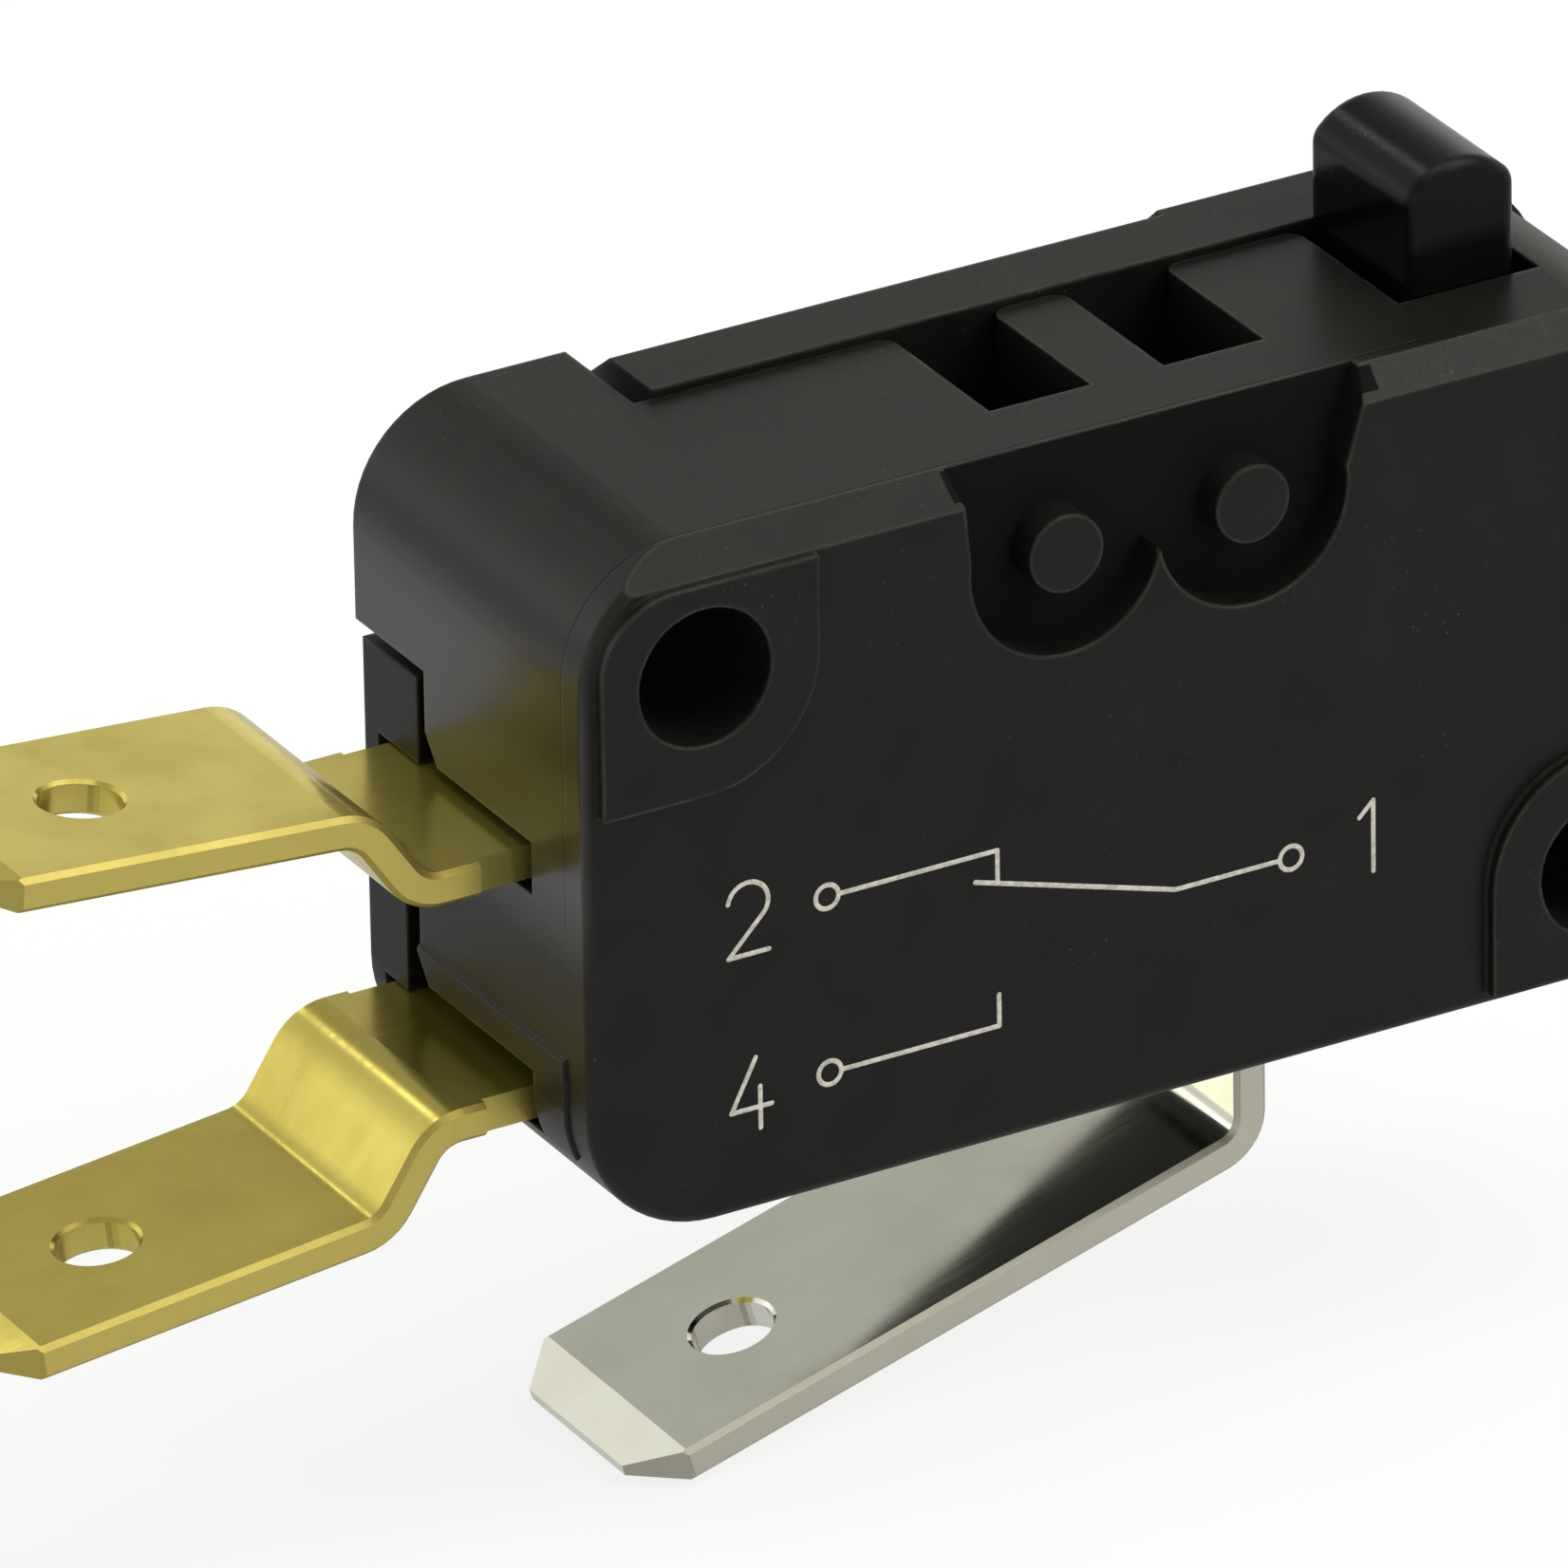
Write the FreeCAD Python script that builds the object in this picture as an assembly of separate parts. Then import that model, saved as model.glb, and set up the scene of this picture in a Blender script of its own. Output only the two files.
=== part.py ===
import FreeCAD, Part
import math
import os

# Snap-action micro switch of the common miniature size, in millimetres.
# The origin is on the axis of the upper left mounting hole, midway through the depth.
# +X runs along the length to the plunger end, +Y runs through the depth to the rear, +Z is up.

# Mounting holes and housing envelope
hole_spacing_x = 22.2
hole_spacing_z = 10.3
hole_inset = 2.8
hole_d = 3.2
body_depth = 10.3
pad_step = 0.3
plain_corner_r = 3.0
plunger_corner_r = 2.65
rim_round = 0.25

# Rim bevel along the top of both faces, longer beside the terminals than beside the plunger
bevel_drop = 0.65
bevel_depth = 0.85
short_bevel_depth = 0.6

# Pads and full-depth corner blocks round the mounting holes
pad_reach = 2.8
pad_margin = 0.05
block_reach_x = 2.45
block_reach_z = 2.2
block_corner_r = 1.2

# Joint between base and rear cover
joint_y = 2.15
joint_gap = 0.03
cover_side_gap = 0.45
cover_end_gap = 0.3
cover_top_step = 0.2
end_groove = 0.33
end_groove_depth = 0.9

# Lip of the end wall between the two roots, and the ledge above the lower root
lip_reach = 0.45
lip_groove = 0.6
lip_gap = 0.05
relief_y = 0.5
relief_z = 0.65
ledge_rise = 1.45
ledge_front_gap = 1.07
ledge_proud = 0.08

# Walls and cavity
front_wall = 1.6
rear_wall = 0.59
end_wall = 3.4
right_wall = 1.6
bottom_wall = 1.65
ceiling_z = -2.35
chamber_roof = 1.4
chamber_left_x = 17.6
boss_r = 2.7
shelf_gap = 0.6

# Lever pegs and the double-lobed window round them, alike on both faces
window_depth = 0.85
peg_d = 1.8
peg_x = 9.0
peg_spacing = 4.6
peg_z = 0.47
lobe_r = 2.35
window_left = 6.4
window_right = 16.78
window_draft = 0.32

# Pockets in the top face
pocket_left_x = 8.7
pocket_width = 2.5
pocket_pitch = 4.3
pocket_depth = 2.4
pocket_front_y = -2.15
land_corner_r = 0.4

# Plunger and its opening
plunger_inset = 4.5
plunger_width = 2.68
plunger_length = 4.2
plunger_free_z = 5.78
plunger_crown_r = 1.65
plunger_shoulder_r = 0.55
plunger_edge_r = 0.25
opening_left_gap = 0.3
opening_right_gap = 0.56
flange_overlap = 0.5
flange_thickness = 1.0
flange_gap = 0.05
foot_r = 0.9
foot_z = -3.5
foot_length = 3.0

# Push-on terminals
tab_width = 6.3
tab_thickness = 0.8
tab_edge_bevel = 0.12
tab_hole_d = 1.85
tab_hole_rim = 0.08
tab_hole_to_tip = 4.15
tab_corner_along = 1.15
tab_corner_across = 1.1
tab_bevel = 0.27
tab_bevel_length = 1.15
neck_notch = 0.25
neck_length = 1.1
root_overhang = 0.4
slot_side_gap = 0.21
slot_top_gap = 0.3
no_slot_top_gap = 0.62
slot_bottom_gap = 0.15
slot_cover_gap = 0.05

# Upper terminal: flat root, short rise, long tab
nc_root_z = -5.0
nc_bend_x = -5.38
nc_crest_x = -6.65
nc_crest_z = -3.125
nc_tip_x = -15.93
nc_tilt = 4.2
nc_bend_r = 0.7

# Lower terminal: flat root, short drop, long tab
no_floor_gap = 0.32
no_bend_x = -5.05
no_foot_x = -6.35
no_drop = 1.99
no_tip_x = -15.8
no_tilt = 6.2
no_bend_r = 0.7

# Common terminal: upright leg through the bottom, tab bent forward under the housing
com_bend_drop = 3.27
com_tip_x = -0.17
com_tilt = 16.05
com_bend_r = 0.5
com_top_gap = 0.3
com_window_width = 2.6
com_window_depth = 1.8
com_groove_depth = 0.3

# Moving blade and contacts
arm_thickness = 0.3
arm_width = 4.4
arm_slot_width = 2.4
arm_slot_left_x = 4.8
arm_left_x = 0.9
eye_inset = 0.6
contact_x = 2.6
contact_r = 1.2
contact_shank_r = 0.65
contact_crown = 0.12
shank_gap = 0.02
made_gap = 0.05
fixed_head_share = 0.172
moving_head_share = 0.1525

# Bell-crank lever under the plunger
lever_reach = 3.8
lever_gap = 0.2
lever_floor_gap = 0.55
lever_width = 3.2
lever_hub_r = 1.1
lever_trunnion_r = 0.6
trunnion_gap = 0.05
trunnion_depth = 0.6
pad_tilt = 20.0
pad_gap = 0.05
lever_pad_r = 0.4
pad_run = 2.53
pad_overrun = 0.02
hook_offset = 1.2
hook_rise = 0.3
hook_boss_r = 0.65
hook_hole_r = 0.3

# Tension spring between blade and lever
spring_wire = 0.26
spring_mean_r = 0.7
spring_turns = 8
spring_hook_run = 1.5
spring_hook_drop = 0.5

# Worked-out places
left_x = -hole_inset
right_x = hole_spacing_x + hole_inset
top_z = hole_inset
bottom_z = -hole_spacing_z - hole_inset
pad_front_y = -body_depth / 2
pad_rear_y = body_depth / 2
face_front_y = pad_front_y + pad_step
face_rear_y = pad_rear_y - pad_step
inner_front_y = face_front_y + front_wall
inner_rear_y = face_rear_y - rear_wall
cover_front_y = joint_y + joint_gap
tab_rear_y = inner_rear_y - slot_side_gap
tab_centre_y = tab_rear_y - tab_width / 2
tab_front_y = tab_centre_y - tab_width / 2
slot_front_y = tab_front_y - slot_side_gap
slot_rear_y = tab_rear_y + slot_side_gap
half_tab = tab_thickness / 2
wall_inner_x = left_x + end_wall
floor_z = bottom_z + bottom_wall
plunger_x = right_x - plunger_inset
lever_x = plunger_x - lever_reach
hook_x = lever_x + hook_offset
com_right_x = lever_x - lever_hub_r - lever_gap
com_leg_x = com_right_x - half_tab
com_left_x = com_leg_x - half_tab
root_end_x = contact_x + contact_r + root_overhang
no_root_z = floor_z + no_floor_gap + half_tab
com_bend_z = bottom_z - com_bend_drop
com_top_z = nc_root_z - half_tab - com_top_gap
contact_space = nc_root_z - no_root_z - tab_thickness
fixed_head = contact_space * fixed_head_share
moving_head = contact_space * moving_head_share
arm_z = nc_root_z - half_tab - fixed_head - made_gap - moving_head - arm_thickness / 2
lever_z = floor_z + lever_floor_gap + lever_hub_r
hook_z = arm_z + hook_rise
ledge_z = no_root_z + half_tab + ledge_rise
ledge_front_y = face_front_y + ledge_front_gap
lip_y = joint_y + lip_reach


def vector(x, z, y=0.0):
    return FreeCAD.Vector(x, y, z)


def block(x0, x1, y0, y1, z0, z1):
    """Box between two corners."""
    return Part.makeBox(x1 - x0, y1 - y0, z1 - z0, FreeCAD.Vector(x0, y0, z0))


def corner(before, point, after, radius):
    """Start, middle and end of the arc that rounds a corner of an outline."""
    if radius <= 0:
        return point, point, point
    to_before = (before - point).normalize()
    to_after = (after - point).normalize()
    half_angle = to_before.getAngle(to_after) / 2
    run = radius / math.tan(half_angle)
    bisector = (to_before + to_after).normalize()
    middle = point + bisector * (radius / math.sin(half_angle) - radius)
    return point + to_before * run, middle, point + to_after * run


def outline(points):
    """Closed wire through points, each a vector and the radius of its corner."""
    count = len(points)
    corners = []
    for index, (point, radius) in enumerate(points):
        before = points[index - 1][0]
        after = points[(index + 1) % count][0]
        corners.append(corner(before, point, after, radius))
    edges = []
    for index, (start, middle, end) in enumerate(corners):
        if start.distanceToPoint(end) > 1e-6:
            edges.append(Part.Arc(start, middle, end).toShape())
        following = corners[(index + 1) % count][0]
        if end.distanceToPoint(following) > 1e-6:
            edges.append(Part.LineSegment(end, following).toShape())
    return Part.Wire(edges)


def plate(points, y0, y1):
    """Slab between two depths; each point of its outline is x, z and a corner radius."""
    wire = outline([(vector(x, z, y0), radius) for x, z, radius in points])
    return Part.Face(wire).extrude(FreeCAD.Vector(0, y1 - y0, 0))


def column(points, z0, z1):
    """Upright prism; each point of its outline is x, y and a corner radius."""
    wire = outline([(FreeCAD.Vector(x, y, z0), radius) for x, y, radius in points])
    return Part.Face(wire).extrude(FreeCAD.Vector(0, 0, z1 - z0))


def wedge(points, x0, x1):
    """Prism along the length; each point of its outline is y and z."""
    wire = outline([(FreeCAD.Vector(x0, y, z), 0) for y, z in points])
    return Part.Face(wire).extrude(FreeCAD.Vector(x1 - x0, 0, 0))


def rod(x, z, radius, y0, y1):
    """Round bar along the depth."""
    return Part.makeCylinder(radius, y1 - y0, vector(x, z, y0), FreeCAD.Vector(0, 1, 0))


def body_outline(top, upper_left_r):
    """Side view of the housing."""
    return [
        (left_x, top, upper_left_r),
        (right_x, top, plunger_corner_r),
        (right_x, bottom_z, hole_inset),
        (left_x, bottom_z, plain_corner_r),
    ]


def cavity_outline():
    """Side view of the space for the mechanism, clear of both mounting holes."""
    shelf_x = root_end_x + shelf_gap
    upper_z = nc_root_z + half_tab + slot_top_gap
    boss_left = hole_spacing_x - boss_r
    boss_top = -hole_spacing_z + boss_r
    roof_z = top_z - chamber_roof
    return [
        (wall_inner_x, floor_z, 0),
        (boss_left, floor_z, 0),
        (boss_left, boss_top, boss_r),
        (right_x - right_wall, boss_top, 0),
        (right_x - right_wall, roof_z, 0),
        (chamber_left_x, roof_z, 0),
        (chamber_left_x, ceiling_z, 0),
        (shelf_x, ceiling_z, 0),
        (shelf_x, upper_z, 0),
        (wall_inner_x, upper_z, 0),
    ]


def window_solids(y0, y1):
    """The double-lobed recess round two lever pegs, open at the top."""
    lobes = [rod(peg_x + step * peg_spacing, peg_z, lobe_r, y0, y1) for step in (0, 1)]
    above = top_z + cover_top_step + 0.5
    opening = plate([
        (window_left, above, 0),
        (window_right, above, 0),
        (peg_x + peg_spacing + lobe_r - 0.02, peg_z + window_draft, 0),
        (peg_x + peg_spacing, peg_z, 0),
        (peg_x, peg_z, 0),
        (peg_x - lobe_r + 0.02, peg_z + window_draft, 0),
    ], y0, y1)
    return opening.fuse(lobes)


def pegs(y0, y1):
    """The two short pegs that carry an actuating lever."""
    return [rod(peg_x + step * peg_spacing, peg_z, peg_d / 2, y0, y1) for step in (0, 1)]


def terminal_slots(y0, y1, nc_gap, no_gap):
    """Openings for the roots of the three terminals, clear of them from end to end."""
    slots = []
    for root_z, top_gap in ((nc_root_z, nc_gap), (no_root_z, no_gap)):
        slots.append(block(left_x - 1, root_end_x + slot_side_gap, y0, y1,
                           root_z - half_tab - slot_bottom_gap, root_z + half_tab + top_gap))
    slots.append(block(com_left_x - slot_bottom_gap, com_right_x + slot_bottom_gap, y0, y1,
                       bottom_z - 1, com_top_z + slot_top_gap))
    return slots


def bevel_cutters(side, top, face_y):
    """Wedges that bevel the top edge of the front face (side -1) or rear face (side 1)."""
    split_x = (window_left + window_right) / 2
    cutters = []
    for depth, x0, x1 in ((bevel_depth, left_x - 1, split_x), (short_bevel_depth, split_x, right_x + 1)):
        slope = bevel_drop / depth
        outside = 2.0
        cutters.append(wedge([
            (face_y - side * depth, top),
            (face_y - side * depth, top + outside),
            (face_y + side * outside, top + outside),
            (face_y + side * outside, top - bevel_drop - slope * outside),
        ], x0, x1))
    return cutters


def end_wall_ledge():
    """Slightly proud pad round the lower root, with a bevelled top, that follows the corner."""
    arc_z = bottom_z + plain_corner_r
    slot_bottom = no_root_z - half_tab - slot_bottom_gap
    upright = plate([
        (left_x + ledge_proud, ledge_z + ledge_proud, 0), (left_x - ledge_proud, ledge_z - ledge_proud, 0),
        (left_x - ledge_proud, arc_z, 0), (left_x + ledge_proud, arc_z, 0),
    ], ledge_front_y, lip_y)
    curved = rod(left_x + plain_corner_r, arc_z, plain_corner_r + ledge_proud, ledge_front_y, joint_y)
    return [upright, curved.common(block(left_x - 1, wall_inner_x, ledge_front_y, joint_y,
                                         slot_bottom - ledge_proud, arc_z))]


def end_wall_lip():
    """Lip of the end wall that reaches over the cover between the two roots."""
    lip_right = left_x + end_groove_depth - lip_gap
    slot_top = no_root_z + half_tab + no_slot_top_gap
    slot_bottom = nc_root_z - half_tab - slot_bottom_gap
    return block(left_x, lip_right, joint_y - joint_gap, lip_y, slot_top, slot_bottom)


def slot_reliefs():
    """Slanted corners of the end wall where each root comes out beside the cover."""
    cutters = []
    for root_z, top_gap, rear_y in ((nc_root_z, slot_top_gap, joint_y),
                                    (no_root_z, no_slot_top_gap, lip_y)):
        slot_top = root_z + half_tab + top_gap
        cutters.append(wedge([
            (rear_y - relief_y, slot_top - top_gap), (rear_y - relief_y, slot_top),
            (rear_y, slot_top + relief_z), (rear_y + 1, slot_top + relief_z),
            (rear_y + 1, slot_top - top_gap),
        ], left_x - 1, left_x + end_groove_depth))
    return cutters


def housing_base():
    """Main moulding: front wall, side walls, full-depth hole corners, pegs."""
    shell = plate(body_outline(top_z, hole_inset), face_front_y, joint_y)
    rim = [edge for edge in shell.Edges
           if all(abs(v.Point.y - face_front_y) < 1e-6 for v in edge.Vertexes)]
    shell = shell.makeFillet(rim_round, rim)
    shell = shell.cut(bevel_cutters(-1, top_z, face_front_y))

    pad_top = top_z - bevel_drop
    inset = rim_round + pad_margin
    pad_left = left_x + inset
    pad_right = right_x - inset
    pad_bottom = bottom_z + inset
    pads = [
        plate([(pad_left, pad_top, hole_inset - bevel_drop - inset), (pad_reach, pad_top, 0),
               (pad_reach, -pad_reach, pad_reach), (pad_left, -pad_reach, 0)],
              pad_front_y, inner_front_y),
        plate([(hole_spacing_x - pad_reach, pad_bottom, 0), (pad_right, pad_bottom, hole_inset - inset),
               (pad_right, -hole_spacing_z + pad_reach, 0),
               (hole_spacing_x - pad_reach, -hole_spacing_z + pad_reach, pad_reach)],
              pad_front_y, inner_front_y),
    ]
    block_bottom = -block_reach_z
    block_top = -hole_spacing_z + block_reach_z
    block_left = hole_spacing_x - block_reach_x
    blocks = [
        plate([(left_x, top_z, hole_inset), (block_reach_x, top_z, 0),
               (block_reach_x, block_bottom, block_corner_r), (left_x, block_bottom, 0)],
              joint_y - 0.5, pad_rear_y),
        plate([(block_left, bottom_z, 0), (right_x, bottom_z, hole_inset),
               (right_x, block_top, 0), (block_left, block_top, block_corner_r)],
              joint_y - 0.5, pad_rear_y),
    ]
    body = shell.fuse(pads + blocks + end_wall_ledge() + [end_wall_lip()])

    window_floor = face_front_y + window_depth
    body = body.cut(window_solids(pad_front_y - 1, window_floor))
    body = body.fuse(pegs(face_front_y, window_floor + 0.2))

    cuts = [plate(cavity_outline(), inner_front_y, joint_y + 1)]
    cuts += terminal_slots(slot_front_y, joint_y + 1, slot_top_gap, no_slot_top_gap)
    cuts += slot_reliefs()
    beyond = joint_y + 1
    flare = land_corner_r * 2
    for index in (0, 1):
        x0 = pocket_left_x + index * pocket_pitch
        x1 = x0 + pocket_width
        cuts.append(column([
            (x0, pocket_front_y, 0), (x1, pocket_front_y, 0), (x1, joint_y, land_corner_r),
            (x1 + flare, joint_y, 0), (x1 + flare, beyond, 0), (x0 - flare, beyond, 0),
            (x0 - flare, joint_y, 0), (x0, joint_y, land_corner_r),
        ], top_z - pocket_depth, top_z + 1))
    opening_left = plunger_x - plunger_width / 2 - opening_left_gap
    opening_right = plunger_x + plunger_width / 2 + opening_right_gap
    cuts.append(column([
        (opening_left, pocket_front_y, 0), (opening_right, pocket_front_y, 0), (opening_right, beyond, 0),
        (opening_left - flare, beyond, 0), (opening_left - flare, joint_y, 0),
        (opening_left, joint_y, land_corner_r),
    ], top_z - chamber_roof - 0.01, top_z + 1))
    for x, z in ((0, 0), (hole_spacing_x, -hole_spacing_z)):
        cuts.append(rod(x, z, hole_d / 2, pad_front_y - 1, pad_rear_y + 1))
    cuts.append(rod(lever_x, lever_z, lever_trunnion_r + trunnion_gap,
                    inner_front_y - trunnion_depth - trunnion_gap, inner_front_y + 1))
    return body.cut(cuts)


def rear_cover():
    """Rear moulding that closes the base between the two full-depth corners."""
    top = top_z + cover_top_step
    left = block_reach_x + cover_side_gap
    upper = -block_reach_z - cover_end_gap
    right = hole_spacing_x - block_reach_x - cover_side_gap
    lower = -hole_spacing_z + block_reach_z + cover_end_gap
    shell = plate([
        (left, top, 0),
        (right_x, top, plunger_corner_r),
        (right_x, lower, 0),
        (right, lower, block_corner_r),
        (right, bottom_z, 0),
        (left_x, bottom_z, plain_corner_r),
        (left_x, upper, 0),
        (left, upper, block_corner_r),
    ], cover_front_y, face_rear_y)

    cuts = bevel_cutters(1, top, face_rear_y)
    cuts.append(block(left_x - 1, left_x + end_groove_depth, cover_front_y - 1, joint_y + end_groove,
                      bottom_z - 1, upper + 1))
    cuts.append(block(left_x - 1, left_x + end_groove_depth, cover_front_y - 1, lip_y + lip_groove,
                      no_root_z, nc_root_z))
    cuts.append(plate(cavity_outline(), cover_front_y - 1, inner_rear_y))
    cuts += terminal_slots(cover_front_y - 1, slot_rear_y, slot_cover_gap, slot_cover_gap)
    shell = shell.cut(cuts)

    window_floor = face_rear_y - window_depth
    shell = shell.cut(window_solids(window_floor, face_rear_y + 1))
    bearing_front = inner_rear_y - trunnion_depth - trunnion_gap
    bearing = rod(lever_x, lever_z, lever_hub_r, bearing_front, inner_rear_y + 0.2)
    shell = shell.fuse(pegs(window_floor - 0.2, face_rear_y) + [bearing])
    return shell.cut(rod(lever_x, lever_z, lever_trunnion_r + trunnion_gap,
                         bearing_front - 1, inner_rear_y))


def plunger():
    """Push button: crowned head, retaining flange, stem with a round foot."""
    x0 = plunger_x - plunger_width / 2
    x1 = plunger_x + plunger_width / 2
    y1 = plunger_length / 2
    flange_top = top_z - chamber_roof - flange_gap
    crown_z = plunger_free_z - plunger_crown_r
    head = block(x0, x1, -y1, y1, flange_top - 0.1, plunger_free_z + 1)
    crown = rod(plunger_x, crown_z, plunger_crown_r, -y1, y1)
    crown = crown.fuse(block(x0 - 1, x1 + 1, -y1, y1, flange_top - 1, crown_z))
    head = head.common(crown).removeSplitter()
    shoulders = [edge for edge in head.Edges
                 if edge.BoundBox.YLength > plunger_length - 0.01 and edge.BoundBox.ZMin > top_z]
    head = head.makeFillet(plunger_shoulder_r, shoulders)
    ends = [edge for edge in head.Edges
            if edge.BoundBox.YLength < 1e-6 and edge.BoundBox.ZMax > flange_top]
    head = head.makeFillet(plunger_edge_r, ends)
    flange = block(x0 - opening_left_gap - flange_overlap, x1 + opening_right_gap + flange_overlap / 2,
                   -y1, y1 - flange_gap, flange_top - flange_thickness, flange_top)
    stem = block(plunger_x - foot_r, plunger_x + foot_r, -foot_length / 2 + tab_centre_y / 2,
                 foot_length / 2 + tab_centre_y / 2, foot_z, flange_top - flange_thickness + 0.1)
    foot = rod(plunger_x, foot_z, foot_r, -foot_length / 2 + tab_centre_y / 2,
               foot_length / 2 + tab_centre_y / 2)
    return head.fuse([flange, stem, foot]).removeSplitter()


def strip_section(path, bend_r):
    """Outline of a bent strip: its middle line, thickened, with concentric rounded bends."""
    one_side = []
    other_side = []
    last = len(path) - 1
    for index, (x, z) in enumerate(path):
        point = vector(x, z)
        before = point - vector(*path[index - 1]) if index > 0 else None
        after = vector(*path[index + 1]) - point if index < last else None
        into = (before or after).normalize()
        out = (after or before).normalize()
        turn = into.z * out.x - into.x * out.z
        normal_in = FreeCAD.Vector(-into.z, 0, into.x)
        normal_out = FreeCAD.Vector(-out.z, 0, out.x)
        mitre = (normal_in + normal_out).normalize()
        offset = mitre * (half_tab / mitre.dot(normal_in))
        ended = index in (0, last)
        inner = 0 if ended else bend_r
        outer = 0 if ended else bend_r + tab_thickness
        one_side.append((point + offset, outer if turn > 0 else inner))
        other_side.append((point - offset, inner if turn > 0 else outer))
    return one_side + other_side[::-1]


def bent_strip(path, bend_r):
    """Strip of tab width along a path, with its long edges slightly bevelled."""
    section = [(point + FreeCAD.Vector(0, tab_front_y, 0), radius)
               for point, radius in strip_section(path, bend_r)]
    strip = Part.Face(outline(section)).extrude(FreeCAD.Vector(0, tab_width, 0))
    long_edges = []
    for edge in strip.Edges:
        flat = edge.BoundBox.YLength < 1e-6
        across = abs(edge.Length - tab_thickness) < 1e-6 and len(edge.Vertexes) == 2
        if flat and not across:
            long_edges.append(edge)
    return strip.makeChamfer(tab_edge_bevel, long_edges)


def tab_end_cutters(tip, inward, through=tab_thickness * 2):
    """Corner cuts, lead-in bevels and the hole of a push-on tab that ends at tip."""
    along = (inward * -1).normalize()
    across = FreeCAD.Vector(0, 1, 0)
    up = along.cross(across)
    frame = FreeCAD.Placement(tip + across * tab_centre_y, FreeCAD.Rotation(along, across, up, "XYZ"))
    cutters = []
    side = tab_width / 2
    for sign in (-1, 1):
        inner = sign * (side - tab_corner_across)
        outer = sign * (side + 1)
        points = [(-tab_corner_along, outer), (-tab_corner_along, sign * side), (0, inner),
                  (1, inner), (1, outer)]
        wire = outline([(FreeCAD.Vector(x, y, -through), 0) for x, y in points])
        cutters.append(Part.Face(wire).extrude(FreeCAD.Vector(0, 0, through * 2)))
        edge_z = sign * (half_tab - tab_bevel)
        points = [(-tab_bevel_length, sign * half_tab), (0, edge_z), (1, edge_z),
                  (1, sign * through), (-tab_bevel_length, sign * through)]
        wire = outline([(FreeCAD.Vector(x, -side - 1, z), 0) for x, z in points])
        cutters.append(Part.Face(wire).extrude(FreeCAD.Vector(0, tab_width + 2, 0)))
    hole_r = tab_hole_d / 2
    cutters.append(Part.makeCylinder(hole_r, through * 2, FreeCAD.Vector(-tab_hole_to_tip, 0, -through)))
    for sign in (-1, 1):
        rim = Part.makeCone(hole_r, hole_r + tab_hole_rim, tab_hole_rim,
                            FreeCAD.Vector(-tab_hole_to_tip, 0, sign * (half_tab - tab_hole_rim)),
                            FreeCAD.Vector(0, 0, sign))
        cutters.append(rim)
    for cutter in cutters:
        cutter.Placement = frame.multiply(cutter.Placement)
    return cutters


def end_terminal(root_z, bend_x, knee_x, knee_z, tip_x, tilt):
    """Brass terminal that leaves the end wall: flat root, joggle, tilted tab."""
    rise = math.tan(math.radians(tilt)) * (knee_x - tip_x)
    tip = vector(tip_x, knee_z + rise)
    strip = bent_strip([(root_end_x, root_z), (bend_x, root_z), (knee_x, knee_z), (tip.x, tip.z)],
                       nc_bend_r if tilt > 0 else no_bend_r)
    cuts = tab_end_cutters(tip, vector(knee_x, knee_z) - tip)
    for side_y in (tab_front_y - 1 + neck_notch, tab_rear_y - neck_notch):
        cuts.append(block(left_x - neck_length, root_end_x + 1, side_y, side_y + 1,
                          root_z - 1, root_z + 1))
    cuts.append(Part.makeCylinder(contact_shank_r + shank_gap, tab_thickness * 2,
                                  vector(contact_x, root_z - tab_thickness, tab_centre_y)))
    return strip.cut(cuts)


def nc_terminal():
    """Upper terminal, its tab raised and tilted up."""
    return end_terminal(nc_root_z, nc_bend_x, nc_crest_x, nc_crest_z, nc_tip_x, nc_tilt)


def no_terminal():
    """Lower terminal, its tab lowered and tilted down."""
    return end_terminal(no_root_z, no_bend_x, no_foot_x, no_root_z - no_drop, no_tip_x, -no_tilt)


def com_terminal():
    """Common terminal: forked leg that carries the blade, tab bent forward under the housing."""
    drop = math.tan(math.radians(com_tilt)) * (com_leg_x - com_tip_x)
    tip = vector(com_tip_x, com_bend_z - drop)
    bend = vector(com_leg_x, com_bend_z)
    strip = bent_strip([(com_leg_x, com_top_z), (bend.x, bend.z), (tip.x, tip.z)], com_bend_r)
    window = block(com_left_x - 1, com_right_x + 1, tab_centre_y - com_window_width / 2,
                   tab_centre_y + com_window_width / 2, arm_z - com_window_depth, com_top_z + 1)
    groove = plate([
        (com_left_x + com_groove_depth, arm_z, 0),
        (com_left_x - com_groove_depth, arm_z + com_groove_depth * 2, 0),
        (com_left_x - com_groove_depth, arm_z - com_groove_depth * 2, 0),
    ], tab_front_y - 1, tab_rear_y + 1)
    return strip.cut(tab_end_cutters(tip, bend - tip)).cut(window).cut(groove)


def rivet(x, face_z, head_height, up, shank_length):
    """Contact rivet: head with a shallow crown on one side of a strip and its shank through it."""
    sign = 1 if up else -1
    centre = FreeCAD.Vector(x, tab_centre_y, face_z)
    profile = [(0, -shank_length), (contact_shank_r, -shank_length), (contact_shank_r, 0), (contact_r, 0),
               (contact_r, head_height - contact_crown), (contact_r / 2, head_height), (0, head_height)]
    points = [centre + FreeCAD.Vector(radius, 0, sign * height) for radius, height in profile]
    face = Part.Face(Part.makePolygon(points + points[:1]))
    return face.revolve(centre, FreeCAD.Vector(0, 0, 1), 360)


def nc_contact():
    """Fixed contact under the root of the upper terminal."""
    return rivet(contact_x, nc_root_z - half_tab, fixed_head, False, tab_thickness)


def no_contact():
    """Fixed contact on top of the root of the lower terminal."""
    return rivet(contact_x, no_root_z + half_tab, fixed_head, True, tab_thickness)


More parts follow.
